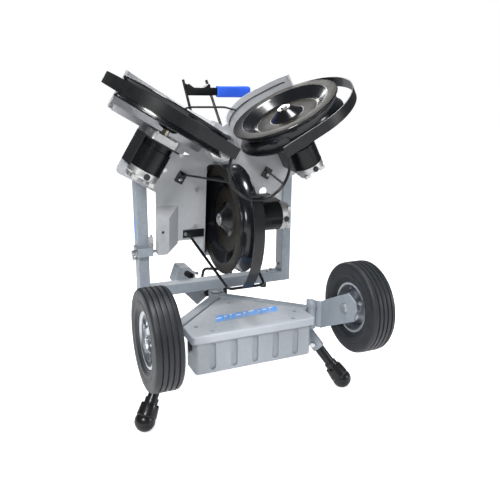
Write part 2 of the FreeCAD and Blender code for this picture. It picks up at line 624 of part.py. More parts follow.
def cover(closed):
    """Rear wheel cover: a curved back that follows the wheel and a flat wall on the motor's side.

    The lower cover is closed on both sides and at its end. The upper ones are open on the wheel's open side,
    where their edge is folded in.
    """
    low, high = -COVER_HUB, COVER_MOTOR
    seam = PLATE_Y + PLATE_T
    end = SLOT_OUT + WALL if closed else COVER_END
    outer = cover_face(0, seam, end)
    outer.translate(Vector(0, 0, low))
    outer = outer.extrude(Vector(0, 0, high - low))
    inner = cover_face(WALL, PLATE_Y, end)
    inner.translate(Vector(0, 0, low + WALL if closed else low - 1))
    inner = inner.extrude(Vector(0, 0, high - low - 2 * WALL if closed else high - low - WALL + 1))
    rims = [e for e in outer.Edges if e.BoundBox.ZMin > high - 1e-3 and e.BoundBox.YMax > seam + 60]
    try:
        soft = outer.makeFillet(7, rims)
        if soft.isValid():
            outer = soft
    except Part.OCCError:
        pass
    shell = outer.cut(inner)
    if closed:
        return shell
    open_end = slab(COVER_END - 60, COVER_END + 20, low - 1, high - WALL, seam - 5, 169.5)
    shell = largest(shell.cut(open_end))
    fold = cover_face(WALL - 0.5, PLATE_Y).cut(cover_face(WALL + 1.5, PLATE_Y - 10))
    fold = fold.common(Part.Face(Part.makePolygon([Vector(a, b, 0) for a, b in
                                                   ((0, 100), (0, 300), (312, 300), (312, 100), (0, 100))])))
    fold.translate(Vector(0, 0, low))
    fold = fold.extrude(Vector(0, 0, HEM))
    fold = fold.cut(slab(COVER_END - 60, COVER_END + 20, low - 1, high, seam - 5, 169.5))
    return fuse([shell, largest(fold)])


def make_covers():
    for which in WHEELS:
        export(which + "_wheel_cover", head(at_wheel(cover(which == "lower"), which)))
    back = PLATE_Y + PLATE_T + COVER_D
    lugs = [box(x - 8, x + 8, back, back + 5, 8, 43) for x in HANDLE_FEET]
    ring = fuse([rod((0, back, 0), (0, back + 5, 0), 60)] + lugs).cut(rod((0, back - 1, 0), (0, back + 6, 0), FEED_R + 1))
    tube = pipe((0, 64, 0), (0, back + 20, 0), FEED_R + 2.5, FEED_R)
    trough = pipe((0, back + 20, 0), (0, back + 66, 0), FEED_R + 2.5, FEED_R).common(
        box(-60, 60, back, back + 80, -60, 0))
    lip = pipe((0, PLATE_Y - 3, 0), (0, PLATE_Y, 0), 49, FEED_R + 1)
    collar = pipe((0, back + 5, 0), (0, back + 8, 0), 44, FEED_R + 1)
    export("feed_tube", head(fuse([ring, tube, trough, lip, collar])))


def make_pod_and_ears():
    def ring(y, x1, top, notch_x, notch_z, grow=0.0):
        pts = [(-193 + grow, top - grow), (x1 - grow, top - grow), (x1 - grow, notch_z), (notch_x - grow, -308 + grow),
               (-193 + grow, -308 + grow)]
        loop = [Vector(a, y, b) for a, b in pts]
        return Part.makePolygon(loop + loop[:1])
    outer = Part.makeLoft([ring(PLATE_Y, -127, -165, -150, -284), ring(58, -160, -196, -166, -296)], True, True)
    inner = Part.makeLoft([ring(PLATE_Y + 0.5, -127, -165, -150, -284, WALL), ring(61, -160, -196, -166, -296, WALL)],
                          True, True)
    pod = cut(outer, inner, rod((-178, 40, -238), (-178, 90, -238), 4))
    skirt = box(-193, -150, PLATE_Y, PLATE_Y + PLATE_T, -308, -277)
    export("side_pod", head(fuse([pod, skirt])))

    back, up = tilt_point()
    ear = prism([(PLATE_Y + PLATE_T, up + 34), (PLATE_Y + PLATE_T, up - 40), (back + 6, up - 22), (back + 26, up - 8),
                 (back + 26, up + 10), (back + 10, up + 24)], 6, "x", 204)
    boss = rod((210, back, up), (214, back, up), 16)
    ear = fuse([ear, boss]).cut(rod((200, back, up), (220, back, up), TILT_BOLT_R + 0.05))
    export("pivot_ears", *[head(s) for s in both(ear)])


def tread_profile():
    """Half section of a throwing wheel, (radius, height); height runs towards the motor."""
    t = WHEEL_HALF_T
    flat = t - 3.5
    arc_r = (flat ** 2 + TREAD_SAG ** 2) / (2 * TREAD_SAG)
    centre = WHEEL_R - TREAD_SAG + arc_r
    tread = []
    for k in range(-6, 7):
        h = flat * k / 6
        tread.append((centre - math.sqrt(arc_r ** 2 - h ** 2), h))
    return ([(SHAFT_R, -t + 2), (18.5, -t + 2), (21, -t + 4), (42, -9), (49, -6), (92, -6), (98, -9), (124, -t + 3), (128, -t)]
            + [(WHEEL_R - 1, -t), (WHEEL_R, -t + 1.5)] + tread + [(WHEEL_R, t - 1.5), (WHEEL_R - 1, t)]
            + [(122, t), (114, 10), (46, 10), (34, 16), (26, t + 4), (17, t + 8), (SHAFT_R, t + 8)])


def make_wheels_and_motors():
    centre = Vector(WHEEL_RHO, 0, 0)
    t = WHEEL_HALF_T
    wheel = turned(tread_profile(), centre, Z)
    spindle = fuse([rod((WHEEL_RHO, 0, -t), (WHEEL_RHO, 0, 62), SHAFT_R),
                    rod((WHEEL_RHO, 0, -t - 1), (WHEEL_RHO, 0, -t + 2), 18.5),
                    hexagon((WHEEL_RHO, 0, -t - 6), Z, 17, 6)])
    bell = rounded(box(WHEEL_RHO - 39, WHEEL_RHO + 39, -39, 39, BELL_T0, BELL_T1), 12, Z)
    bell = bell.cut(rod((WHEEL_RHO, 0, 40), (WHEEL_RHO, 0, 80), SHAFT_R + 0.05))
    can0 = BELL_T1 + MOUNT_T
    can = turned([(0, can0), (MOTOR_R - 3, can0), (MOTOR_R - 3, can0 + 16), (MOTOR_R, can0 + 18), (MOTOR_R, CAN_T1), (0, CAN_T1)],
                 centre, Z)
    cap = turned([(0, CAN_T1), (MOTOR_R, CAN_T1), (MOTOR_R, CAP_T1 - 5), (MOTOR_R - 5, CAP_T1), (0, CAP_T1)], centre, Z)
    brushes = [rounded(box(WHEEL_RHO + s * 21 - 15, WHEEL_RHO + s * 21 + 15, -11, 11, CAP_T1, BRUSH_T1), 4, Z)
               for s in (-1, 1)]
    cap = fuse([cap] + brushes)
    for which in WHEELS:
        export(which + "_throwing_wheel", head(at_wheel(wheel, which)))
        export(which + "_spindle", head(at_wheel(spindle, which)))
    export("motor_cans", *[head(at_wheel(can, w)) for w in WHEELS])
    export("motor_castings", *[head(at_wheel(part, w)) for part in (bell, cap) for w in WHEELS])
    export("motor_brackets", *[head(at_wheel(motor_bracket(1 if w == "left" else -1), w)) for w in WHEELS])


def motor_bracket(side):
    """Face plate between bell and can, a side flange along the can and a foot on the head plate."""
    r = WHEEL_RHO
    face = box(r - 46, r + 46, -41, PLATE_Y, BELL_T1, BELL_T1 + MOUNT_T)
    face = face.cut(rod((r, 0, 60), (r, 0, 90), 24))
    edge = r + side * 46
    flange = box(min(edge, edge - side * 3), max(edge, edge - side * 3), -6, PLATE_Y, BELL_T1, 162)
    flange = flange.cut(prism([(20, 200), (-20, 200), (-20, 132)], 200, "x", 100))
    foot = box(r - 46, r + 46, PLATE_Y - 4, PLATE_Y, BELL_T1, 120)
    plug = rod((r, 0, BELL_T1), (r, 0, BELL_T1 + MOUNT_T), 24)
    can_room = rod((r, 0, BELL_T1 + MOUNT_T), (r, 0, 200), MOTOR_R + 0.2)
    return fuse([face, flange.cut(can_room), foot, plug])


def strip_arc(r_in, start, sweep):
    """Curved guard strip about a wheel's axle, in wheel coordinates."""
    turn = Rotation(Z, start)
    outer = Part.makeCylinder(r_in + HOOP_T, HOOP_W, Vector(0, 0, -HOOP_W / 2), Z, sweep)
    inner = Part.makeCylinder(r_in, HOOP_W + 2, Vector(0, 0, -HOOP_W / 2 - 1), Z, 360)
    band = outer.cut(inner)
    band.Placement = Placement(Vector(WHEEL_RHO, 0, 0), turn)
    return band


def ring_y():
    return -(HOOP_R + HOOP_T) + HOOP_T + ROD_R


def make_guards():
    h = HOOP_W / 2
    y_out = -(HOOP_R + HOOP_T)
    stop_angle = 57.0
    arc = strip_arc(HOOP_R, -90, 90 + stop_angle)
    straight = box(RING_R - 8, WHEEL_RHO + 1, y_out, y_out + HOOP_T, -h, h)
    a = math.radians(stop_angle - 2.2)
    u = Vector(math.cos(a), math.sin(a), 0)
    spacer = Part.makeCylinder(5, 20, Vector(WHEEL_RHO, 0, 0) + u * (HOOP_R + 1), u)
    spacer = largest(spacer.cut(cover(False)))
    upper = fuse([straight, arc, spacer])
    export("upper_hoops", *[head(at_wheel(upper, w)) for w in ("left", "right")])

    wire_rho, wire_y = WHEEL_RHO + 150.0, -150.0
    low_arc = strip_arc(LOWER_HOOP_R, -121.5, 77.5)
    low_tab = box(RING_R - 10, RING_R + 10, ring_y() + ROD_R, ring_y() + ROD_R + HOOP_T, -h, h)
    wire_rod = rod((wire_rho, wire_y, -80), (wire_rho, wire_y, 80), ROD_R)
    lower = fuse([low_arc, low_tab])
    ring_rod = Part.makeTorus(RING_R, ROD_R, Vector(0, ring_y(), 0), Y)
    lower_hoop = largest(at_wheel(lower.cut(wire_rod), "lower").cut(ring_rod))
    export("lower_hoop", head(lower_hoop))

    circle = Part.Wire(Part.Circle(Vector(RING_R, ring_y(), 0), Z, ROD_R).toShape())
    arc_face = Part.Face(circle)
    ring = arc_face.revolve(Vector(0, ring_y(), 0), -Y, -250)
    ring.Placement = Placement(Vector(0, 0, 0), Rotation(Y, -35)).multiply(ring.Placement)
    arms = []
    for x, z, ring_angle in ((-121, -84, 203), (152, -83, -33)):
        a = math.radians(ring_angle)
        tip = (RING_R * math.cos(a), ring_y(), RING_R * math.sin(a))
        plate = rounded(box(-13, 13, 0, 3, -17, 17), 3, Y)
        plate.Placement = Placement(Vector(x, PLATE_Y - 3, z), Rotation(Y, 30))
        start = (x + math.copysign(4, -x), PLATE_Y - 1.5, z + 9)
        bar = rod(start, tip, ROD_R - 1)
        bar = largest(bar.cut(ring_rod).cut(box(-400, 400, PLATE_Y, 200, -400, 400)))
        bolt = rod((x - math.copysign(1, -x), PLATE_Y - 6, z - 7), (x - math.copysign(1, -x), PLATE_Y, z - 7), 5)
        arms.append(fuse([plate, bar, bolt]))
    export("muzzle_ring", head(ring), *[head(a) for a in arms])

    z0 = -wire_rho
    route = [(-95, PLATE_Y - 3 - ROD_R, -254), (-95, 40, -262), (-54, wire_y, z0), (54, wire_y, z0), (70, 40, -270),
             (70, PLATE_Y - 3 - ROD_R, -262)]
    wire = bent_tube(route, ROD_R, 14)
    bars = [box(-112, -47, PLATE_Y - 3, PLATE_Y, -268, -244), box(48, 84, PLATE_Y - 3, PLATE_Y, -274, -250)]
    bolts = [rod((-104, PLATE_Y - 7, -256), (-104, PLATE_Y - 2, -256), 5)]
    export("lower_guard", head(fuse([wire] + bars + bolts)))

    spots = [(-74, -124), (-75, -234), (-168, -60), (-120, -20), (120, -20), (190, -150)]
    screws = [rod((x, PLATE_Y - 3.5, z), (x, PLATE_Y, z), 6) for x, z in spots]
    export("plate_bolts", *[head(s) for s in screws])


def make_handle():
    """Aiming handle: two leaning rods, a saddle between them and a dipped grip to one side."""
    back = PLATE_Y + PLATE_T + COVER_D + 5
    frame = []
    for foot, top in zip(HANDLE_FEET, HANDLE_TOPS):
        frame.append(bent_tube([(foot, back + 4, 29), (foot, back + 4, 44), (top, 264, 169)], 4, 12))
    left, right = [top + 36 * (foot - top) / 125 for foot, top in zip(HANDLE_FEET, HANDLE_TOPS)]
    saddle = prism([(left + 1, 127), (right - 1, 127), (right - 4.5, 160), (right - 11, 160), (right - 23, 150),
                    (left + 21, 150), (left + 7, 160), (left - 1.5, 160)], 17, "y", 233.5)
    bar = box(right - 3, 60, 234, 244, 127.5, 150.5)
    feet = [box(x - 5, x + 5, back, back + 3.5, 28, 39) for x in HANDLE_FEET]
    export("handle_frame", head(fuse(frame + [saddle, bar] + feet)))
    outline = [(42, 122), (143, 122), (153, 134), (150, 150), (143, 156), (42, 156)]
    grip = prism(outline, 20, "y", 229)
    grip = grip.makeFillet(3, edges_along(grip, X) + edges_along(grip, Z))
    export("handle_grip", head(grip.cut(box(10, 60, 234, 244, 127.5, 150.5))))
    lead = bent_tube([(-92, 172, 92), (-60, 193, 98), (50, 193, 98), (82, 172, 92)], 3, 20)
    shells = [at_wheel(cover(False), w) for w in ("left", "right")]
    lead = largest(cut(lead, *shells))
    export("motor_lead", head(lead))


def main():
    os.makedirs("parts", exist_ok=True)
    make_base()
    make_arms()
    make_transport_wheels()
    make_supply_box()
    make_yoke()
    make_swivel_lock()
    make_head_plate()
    make_covers()
    make_pod_and_ears()
    make_wheels_and_motors()
    make_guards()
    make_handle()


main()
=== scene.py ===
import json
import math

import bmesh
import bpy
from mathutils import Matrix, Vector


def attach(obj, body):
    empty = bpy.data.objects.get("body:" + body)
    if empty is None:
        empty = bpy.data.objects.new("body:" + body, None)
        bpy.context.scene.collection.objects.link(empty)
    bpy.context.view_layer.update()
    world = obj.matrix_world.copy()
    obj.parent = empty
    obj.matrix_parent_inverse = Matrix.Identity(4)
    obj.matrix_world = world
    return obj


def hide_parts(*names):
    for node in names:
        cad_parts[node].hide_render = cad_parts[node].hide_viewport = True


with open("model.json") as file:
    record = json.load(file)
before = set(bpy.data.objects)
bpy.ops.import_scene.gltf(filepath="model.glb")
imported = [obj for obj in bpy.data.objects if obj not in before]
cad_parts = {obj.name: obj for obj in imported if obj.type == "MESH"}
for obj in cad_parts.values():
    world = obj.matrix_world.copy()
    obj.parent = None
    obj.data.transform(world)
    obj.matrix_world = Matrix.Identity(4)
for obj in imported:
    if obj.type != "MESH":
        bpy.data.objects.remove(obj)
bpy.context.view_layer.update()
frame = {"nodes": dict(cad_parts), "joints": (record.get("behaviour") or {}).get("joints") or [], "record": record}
nodes = frame["nodes"]
joints = {joint["name"]: joint for joint in frame["joints"]}
feet = {mount["name"]: Vector(mount["pos_m"]) for mount in frame["record"]["mounts"]}


# ---------------------------------------------------------------- places, from the frame
def pivot(name):
    return Vector(joints[name]["pos_m"])


# Outward direction and motor direction of each throwing wheel, seen along the shot axis.
S60 = math.sin(math.radians(60))
WHEEL_FRAMES = {
    "lower": ((0, 0, -1), (1, 0, 0)),
    "left": ((-S60, 0, 0.5), (-0.5, 0, -S60)),
    "right": ((S60, 0, 0.5), (0.5, 0, -S60)),
}
hubs = [pivot(which + "_throwing_wheel_spin") for which in WHEEL_FRAMES]
shot_point = sum(hubs, Vector()) / len(hubs)
spin_axis = Vector(joints["left_throwing_wheel_spin"]["axis"])
head_tilt = math.atan2(spin_axis.y, -spin_axis.z)

HEAD = Matrix.Translation(shot_point) @ Matrix.Rotation(head_tilt, 4, "X")
SWIVEL_Y = pivot("yoke_swivel").y
SHIFT = Matrix.Translation((0, SWIVEL_Y, 0))
HUB_X = 1000 * (hubs[0] - shot_point).length      # a wheel's axle from the shot axis, mm

WHEEL_R = 157.25          # throwing wheel's outside radius
WHEEL_HALF = 28.7         # half its width
TYRE_R = 127.0
TYRE_HALF = 35.0


# ---------------------------------------------------------------- materials
class Graph:
    """Short helper for building one material's nodes."""

    def __init__(self, name):
        self.mat = bpy.data.materials.new(name)
        self.mat.use_nodes = True
        self.tree = self.mat.node_tree
        self.shader = self.tree.nodes["Principled BSDF"]
        self.coord = self.tree.nodes.new("ShaderNodeTexCoord").outputs["Object"]

    def node(self, kind, **values):
        made = self.tree.nodes.new(kind)
        for key, value in values.items():
            if key in made.inputs:
                made.inputs[key].default_value = value
            else:
                setattr(made, key, value)
        return made

    def link(self, a, b):
        self.tree.links.new(a, b)

    def noise(self, scale, detail=4.0, rough=0.55, stretch=None):
        tex = self.node("ShaderNodeTexNoise", Scale=scale, Detail=detail, Roughness=rough)
        source = self.coord
        if stretch:
            mapping = self.node("ShaderNodeMapping")
            mapping.inputs["Scale"].default_value = stretch
            self.link(source, mapping.inputs["Vector"])
            source = mapping.outputs["Vector"]
        self.link(source, tex.inputs["Vector"])
        return tex.outputs["Fac"]

    def ramp(self, value, stops):
        ramp = self.node("ShaderNodeValToRGB")
        points = ramp.color_ramp.elements
        while len(points) < len(stops):
            points.new(0.5)
        for point, (at, colour) in zip(points, stops):
            point.position = at
            point.color = (*colour, 1)
        self.link(value, ramp.inputs["Fac"])
        return ramp.outputs["Color"]

    def scaled(self, value, low, high):
        out = self.node("ShaderNodeMapRange")
        out.inputs["To Min"].default_value = low
        out.inputs["To Max"].default_value = high
        self.link(value, out.inputs["Value"])
        return out.outputs["Result"]

    def mix(self, fac, a, b):
        out = self.node("ShaderNodeMix", data_type="RGBA")
        for socket, value in ((out.inputs[0], fac), (out.inputs[6], a), (out.inputs[7], b)):
            if hasattr(value, "is_output"):
                self.link(value, socket)
            elif isinstance(value, (int, float)):
                socket.default_value = value
            else:
                socket.default_value = (*value, 1)
        return out.outputs[2]

    def bump(self, heights):
        last = None
        for height, strength, distance in heights:
            bump = self.node("ShaderNodeBump", Strength=strength, Distance=distance)
            self.link(height, bump.inputs["Height"])
            if last:
                self.link(last, bump.inputs["Normal"])
            last = bump.outputs["Normal"]
        self.link(last, self.shader.inputs["Normal"])

    def wear(self, low=0.52, high=0.62):
        """Edge mask from the surface's pointiness, broken up by noise."""
        point = self.node("ShaderNodeNewGeometry").outputs["Pointiness"]
        edge = self.node("ShaderNodeMapRange")
        edge.inputs["From Min"].default_value = low
        edge.inputs["From Max"].default_value = high
        self.link(point, edge.inputs["Value"])
        broken = self.node("ShaderNodeMath", operation="MULTIPLY")
        self.link(edge.outputs["Result"], broken.inputs[0])
        self.link(self.noise(70, 5), broken.inputs[1])
        return broken.outputs["Value"]

    def finish(self, colour, rough, metallic=0.0, coat=0.0, coat_rough=0.1, specular=0.5):
        self.link(colour, self.shader.inputs["Base Color"])
        if hasattr(rough, "is_output"):
            self.link(rough, self.shader.inputs["Roughness"])
        else:
            self.shader.inputs["Roughness"].default_value = rough
        self.shader.inputs["Metallic"].default_value = metallic
        self.shader.inputs["Coat Weight"].default_value = coat
        self.shader.inputs["Coat Roughness"].default_value = coat_rough
        self.shader.inputs["Specular IOR Level"].default_value = specular
        return self.mat


def shade(colour, factor):
    return tuple(min(1.0, c * factor) for c in colour)


def powder_coat(name, colour, rough):
    """Paint with a slight orange peel, worn at the edges."""
    g = Graph(name)
    cloud = g.ramp(g.noise(6, 3), [(0.3, shade(colour, 0.93)), (0.7, shade(colour, 1.05))])
    dust = g.ramp(g.noise(120, 2), [(0.35, shade(colour, 0.95)), (0.75, shade(colour, 1.03))])
    base = g.mix(0.35, cloud, dust)
    base = g.mix(g.wear(), base, shade(colour, 0.62))
    g.bump([(g.noise(900, 2), 0.10, 0.0004), (g.noise(14, 2), 0.05, 0.002)])
    return g.finish(base, g.scaled(g.noise(30), rough - 0.07, rough + 0.1), coat=0.12, coat_rough=0.3)


def moulded(name, colour, rough=0.5):
    """Moulded plastic with scuffs."""
    g = Graph(name)
    cloud = g.ramp(g.noise(4, 3), [(0.3, shade(colour, 0.95)), (0.7, shade(colour, 1.04))])
    scuff = g.ramp(g.noise(22, 8, 0.7, (1, 1, 0.2)), [(0.62, (0, 0, 0)), (0.72, (1, 1, 1))])
    base = g.mix(g.scaled(scuff, 0, 0.16), cloud, shade(colour, 0.72))
    base = g.mix(g.wear(0.51, 0.6), base, shade(colour, 1.22))
    g.bump([(g.noise(1400, 2), 0.12, 0.0003), (g.noise(9, 2), 0.04, 0.002)])
    return g.finish(base, g.scaled(g.noise(40), rough - 0.06, rough + 0.1))


def gloss_black(name, colour, rough, coat, wear=0.035):
    """Glossy black with smears and greyer edges."""
    g = Graph(name)
    cloud = g.ramp(g.noise(9, 3), [(0.3, shade(colour, 0.85)), (0.72, shade(colour, 1.5))])
    base = g.mix(g.wear(), cloud, (wear, wear, wear))
    smear = g.scaled(g.noise(26, 6, 0.65), rough - 0.05, rough + 0.14)
    g.bump([(g.noise(60, 3), 0.05, 0.0008), (g.noise(700, 2), 0.04, 0.0002)])
    return g.finish(base, smear, coat=coat, coat_rough=0.07, specular=0.25)


def metal(name, colour, rough, grain=(1, 1, 1)):
    """Bare or plated metal with streaks along the grain and faint stains."""
    g = Graph(name)
    streak = g.noise(60, 6, 0.6, grain)
    base = g.ramp(streak, [(0.3, shade(colour, 0.84)), (0.7, shade(colour, 1.06))])
    stain = g.ramp(g.noise(14, 5), [(0.45, shade(colour, 0.8)), (0.62, colour)])
    base = g.mix(0.4, base, stain)
    base = g.mix(g.wear(), base, shade(colour, 1.15))
    g.bump([(streak, 0.05, 0.0005), (g.noise(400, 2), 0.05, 0.0002)])
    return g.finish(base, g.scaled(g.noise(45, 4), rough - 0.08, rough + 0.14), metallic=1.0)


def cast_aluminium(name, colour):
    g = Graph(name)
    grain = g.noise(420, 3)
    base = g.ramp(grain, [(0.3, shade(colour, 0.82)), (0.7, shade(colour, 1.08))])
    stain = g.ramp(g.noise(25, 6, 0.65), [(0.42, shade(colour, 0.62)), (0.6, colour)])
    base = g.mix(0.35, base, stain)
    g.bump([(grain, 0.22, 0.0004)])
    return g.finish(base, g.scaled(g.noise(60), 0.34, 0.52), metallic=0.92)


def rubber(name, colour, rough, shine=0.4):
    """Rubber or matt black plastic with dust and a fine grain."""
    g = Graph(name)
    dust = g.noise(16, 7, 0.65)
    base = g.ramp(dust, [(0.35, colour), (0.75, shade(colour, 1.8))])
    fine = g.ramp(g.noise(320, 3), [(0.4, (0, 0, 0)), (0.75, (1, 1, 1))])
    base = g.mix(g.scaled(fine, 0, 0.05), base, (0.05, 0.051, 0.053))
    g.bump([(g.noise(800, 3), 0.18, 0.0003), (g.noise(50, 4), 0.08, 0.0006)])
    return g.finish(base, g.scaled(g.noise(35, 5), rough - 0.1, rough + 0.12), specular=shine)


def vinyl(name, colour, rough=0.3):
    g = Graph(name)
    cloud = g.ramp(g.noise(30, 4), [(0.3, shade(colour, 0.86)), (0.7, shade(colour, 1.12))])
    base = g.mix(g.wear(0.5, 0.58), cloud, shade(colour, 1.6))
    g.bump([(g.noise(500, 3), 0.10, 0.0003), (g.noise(60, 3), 0.1, 0.0008)])
    return g.finish(base, g.scaled(g.noise(70), rough - 0.06, rough + 0.12), coat=0.3, coat_rough=0.2)


FRAME_PAINT = powder_coat("frame_powder_coat", (0.335, 0.375, 0.42), 0.40)
SHEET_PAINT = powder_coat("sheet_powder_coat", (0.51, 0.52, 0.54), 0.40)
# Lid paint: partly the lid's own grey, lightened further as painted light for the box's top, which the lamps light
# more than its front.
LIT_LID_PAINT = powder_coat("lid_powder_coat_lit", (0.42, 0.45, 0.49), 0.36)
BOX_PLASTIC = moulded("box_plastic", (0.285, 0.31, 0.34))
BLACK_PAINT = gloss_black("black_paint", (0.004, 0.0045, 0.006), 0.27, 0.25, 0.015)
WHEEL_GLOSS = gloss_black("urethane_wheel", (0.005, 0.0055, 0.007), 0.20, 0.42)
CAN_BLACK = gloss_black("motor_black", (0.003, 0.0033, 0.0045), 0.24, 0.12, 0.01)
ZINC = metal("zinc_steel", (0.62, 0.64, 0.66), 0.3)
RIM_SILVER = metal("rim_silver", (0.60, 0.62, 0.65), 0.33)
TURNED = metal("turned_steel", (0.60, 0.55, 0.46), 0.24)
BRASS = metal("bush_brass", (0.16, 0.12, 0.07), 0.4)
PANEL = metal("brushed_panel", (0.66, 0.67, 0.68), 0.32, (1, 30, 30))
CAST = cast_aluminium("cast_aluminium", (0.66, 0.66, 0.655))
RUBBER = rubber("black_rubber", (0.010, 0.010, 0.011), 0.5)
TYRE = rubber("tyre_rubber", (0.013, 0.014, 0.017), 0.46)
FOOT = gloss_black("foot_rubber", (0.009, 0.009, 0.010), 0.28, 0.2, 0.02)
BLACK_PLASTIC = rubber("black_plastic", (0.012, 0.012, 0.013), 0.42)
URETHANE = rubber("urethane_face", (0.013, 0.0115, 0.008), 0.46, 0.16)
BLUE = vinyl("blue_vinyl", (0.03, 0.12, 0.78))
DECAL_BLUE = vinyl("decal_blue", (0.05, 0.24, 0.62), 0.4)
DECAL_WHITE = vinyl("decal_white", (0.75, 0.78, 0.80), 0.4)

FINISH = {
    "frame_paint": FRAME_PAINT,
    "sheet_paint": SHEET_PAINT,
    "box_plastic": BOX_PLASTIC,
    "bush_brass": BRASS,
    "zinc_steel": ZINC,
    "black_paint": BLACK_PAINT,
    "black_rubber": RUBBER,
    "tyre_rubber": TYRE,
    "black_plastic": BLACK_PLASTIC,
    "panel_aluminium": PANEL,
    "motor_aluminium": CAST,
    "wheel_gloss": WHEEL_GLOSS,
    "spindle_steel": TURNED,
    "blue_vinyl": BLUE,
}
SPECIAL = {
    "motor_cans": CAN_BLACK,
    "box_lid": LIT_LID_PAINT,
    "lid_screws": FRAME_PAINT,
    "rubber_feet": FOOT,
    "left_rim": RIM_SILVER,
    "right_rim": RIM_SILVER,
}


def paint_nodes():
    slots = {part["node"]: part["material_slot"] for part in frame["record"]["subparts"]}
    for name, obj in nodes.items():
        mat = SPECIAL.get(name, FINISH[slots[name]])
        obj.data.materials.clear()
        obj.data.materials.append(mat)
        for poly in obj.data.polygons:
            poly.material_index = 0


# ---------------------------------------------------------------- mesh helpers
def mm(*values):
    return tuple(v / 1000 for v in values)


def mark_sharp(mesh, degrees):
    """Keeps corners sharper than this angle crisp under smooth shading."""
    limit = math.radians(degrees)
    work = bmesh.new()
    work.from_mesh(mesh)
    for edge in work.edges:
        if len(edge.link_faces) == 2:
            edge.smooth = edge.calc_face_angle(0) < limit
    work.to_mesh(mesh)
    work.free()


def piece(name, work, mat, body, place, sharp=None, smooth=True, hides=()):
    """Turns a bmesh drawn in millimetres into a piece that rides on a body."""
    bmesh.ops.scale(work, vec=(0.001, 0.001, 0.001), verts=work.verts)
    bmesh.ops.transform(work, matrix=place, verts=work.verts)
    bmesh.ops.recalc_face_normals(work, faces=work.faces)
    for face in work.faces:
        face.smooth = smooth
    mesh = bpy.data.meshes.new(name)
    work.to_mesh(mesh)
    work.free()
    obj = bpy.data.objects.new(name, mesh)
    bpy.context.scene.collection.objects.link(obj)
    mesh.materials.append(mat)
    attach(obj, body)
    if hides:
        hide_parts(*hides)
    if sharp:
        mark_sharp(mesh, sharp)


def softened(corners, steps=5):
    """Rounds a polyline. Corners are (x, y, radius)."""
    out = []
    count = len(corners)
    for k, (x, y, r) in enumerate(corners):
        here = Vector((x, y))
        if r <= 0 or k in (0, count - 1):
            out.append((x, y))
            continue
        back = Vector(corners[k - 1][:2]) - here
        ahead = Vector(corners[k + 1][:2]) - here
        half = back.angle(ahead) / 2
        if half > math.radians(88.5):
            out.append((x, y))
            continue
        reach = min(r / math.tan(half), back.length * 0.48, ahead.length * 0.48)
        a = here + back.normalized() * reach
        b = here + ahead.normalized() * reach
        for step in range(steps + 1):
            t = step / steps
            point = a * (1 - t) ** 2 + here * 2 * t * (1 - t) + b * t ** 2
            out.append((point.x, point.y))
    return out


def lathe(work, profile, centre=(0, 0, 0), segments=96, base=None):
    """Revolves a closed outline of (radius, height) points about Z; base turns +Z to another axis."""
    rings = []
    for k in range(segments):
        a = 2 * math.pi * k / segments
        ring = []
        for r, h in profile:
            v = Vector((r * math.cos(a), r * math.sin(a), h))
            if base is not None:
                v = base @ v
            ring.append(work.verts.new(v + Vector(centre)))
        rings.append(ring)
    count = len(profile)
    for k in range(segments):
        a, b = rings[k], rings[(k + 1) % segments]
        for j in range(count):
            n = (j + 1) % count
            work.faces.new((a[j], a[n], b[n], b[j]))


def hex_head(work, centre, base, across, height, dome=0.8):
    """Bolt head with a chamfered top; base turns +Z to the bolt's axis."""
    r = across / math.sqrt(3)
    levels = [(1.0, 0), (1.0, height - dome), (0.88, height), (0.02, height)]
    rings = []
    for share, h in levels:
        ring = []
        for k in range(6):
            a = math.radians(60 * k + 15)
            v = base @ Vector((r * share * math.cos(a), r * share * math.sin(a), h))
            ring.append(work.verts.new(v + Vector(centre)))
        rings.append(ring)
    for low, high in zip(rings, rings[1:]):
        for k in range(6):
            n = (k + 1) % 6
            work.faces.new((low[k], low[n], high[n], high[k]))
    work.faces.new(rings[-1])
    work.faces.new(list(reversed(rings[0])))


def turn_to(axis):
    return Vector(axis).to_track_quat("Z", "Y").to_matrix()


def sweep(work, points, radius, sides=12, closed=False, wobble=0.0, pitch=1.0):
    """Tube through points; wobble makes the ripples of a weld bead."""
    pts = [Vector(p) for p in points]
    count = len(pts)
    rings = []
    normal = None
    travelled = 0.0
    for k, p in enumerate(pts):
        before = pts[k - 1] if (k or closed) else p
        after = pts[(k + 1) % count] if (k < count - 1 or closed) else p
        tangent = (after - before).normalized()
        if normal is None:
            guess = Vector((0, 0, 1)) if abs(tangent.z) < 0.9 else Vector((1, 0, 0))
            normal = tangent.cross(guess).normalized()
        normal = (normal - tangent * normal.dot(tangent)).normalized()
        other = tangent.cross(normal)
        if k:
            travelled += (p - pts[k - 1]).length
        r = radius * (1 + wobble * math.sin(2 * math.pi * travelled / pitch))
        ring = []
        for j in range(sides):
            a = 2 * math.pi * j / sides
            ring.append(work.verts.new(p + (normal * math.cos(a) + other * math.sin(a)) * r))
        rings.append(ring)
    spans = count if closed else count - 1
    for k in range(spans):
        a, b = rings[k], rings[(k + 1) % count]
        for j in range(sides):
            n = (j + 1) % sides
            work.faces.new((a[j], a[n], b[n], b[j]))
    if not closed:
        work.faces.new(list(reversed(rings[0])))
        work.faces.new(rings[-1])


def along(points, step=0.6):
    """Points spaced evenly along a polyline."""
    out = [Vector(points[0])]
    for a, b in zip(points, points[1:]):
        a, b = Vector(a), Vector(b)
        parts = max(1, int((b - a).length / step))
        out += [a.lerp(b, (k + 1) / parts) for k in range(parts)]
    return out


def circle(centre, radius, count=160):
    """Points of a level circle."""
    turns = [2 * math.pi * k / count for k in range(count)]
    return [Vector(centre) + Vector((radius * math.cos(a), radius * math.sin(a), 0)) for a in turns]


def blocks(work, places, bevel):
    """Bevelled boxes, each given by its middle and its size."""
    for middle, size in places:
        place = Matrix.Translation(middle) @ Matrix.Diagonal((*size, 1))
        bmesh.ops.create_cube(work, size=1, matrix=place)
    bmesh.ops.bevel(work, geom=list(work.edges), offset=bevel, segments=3, profile=0.6, affect="EDGES")


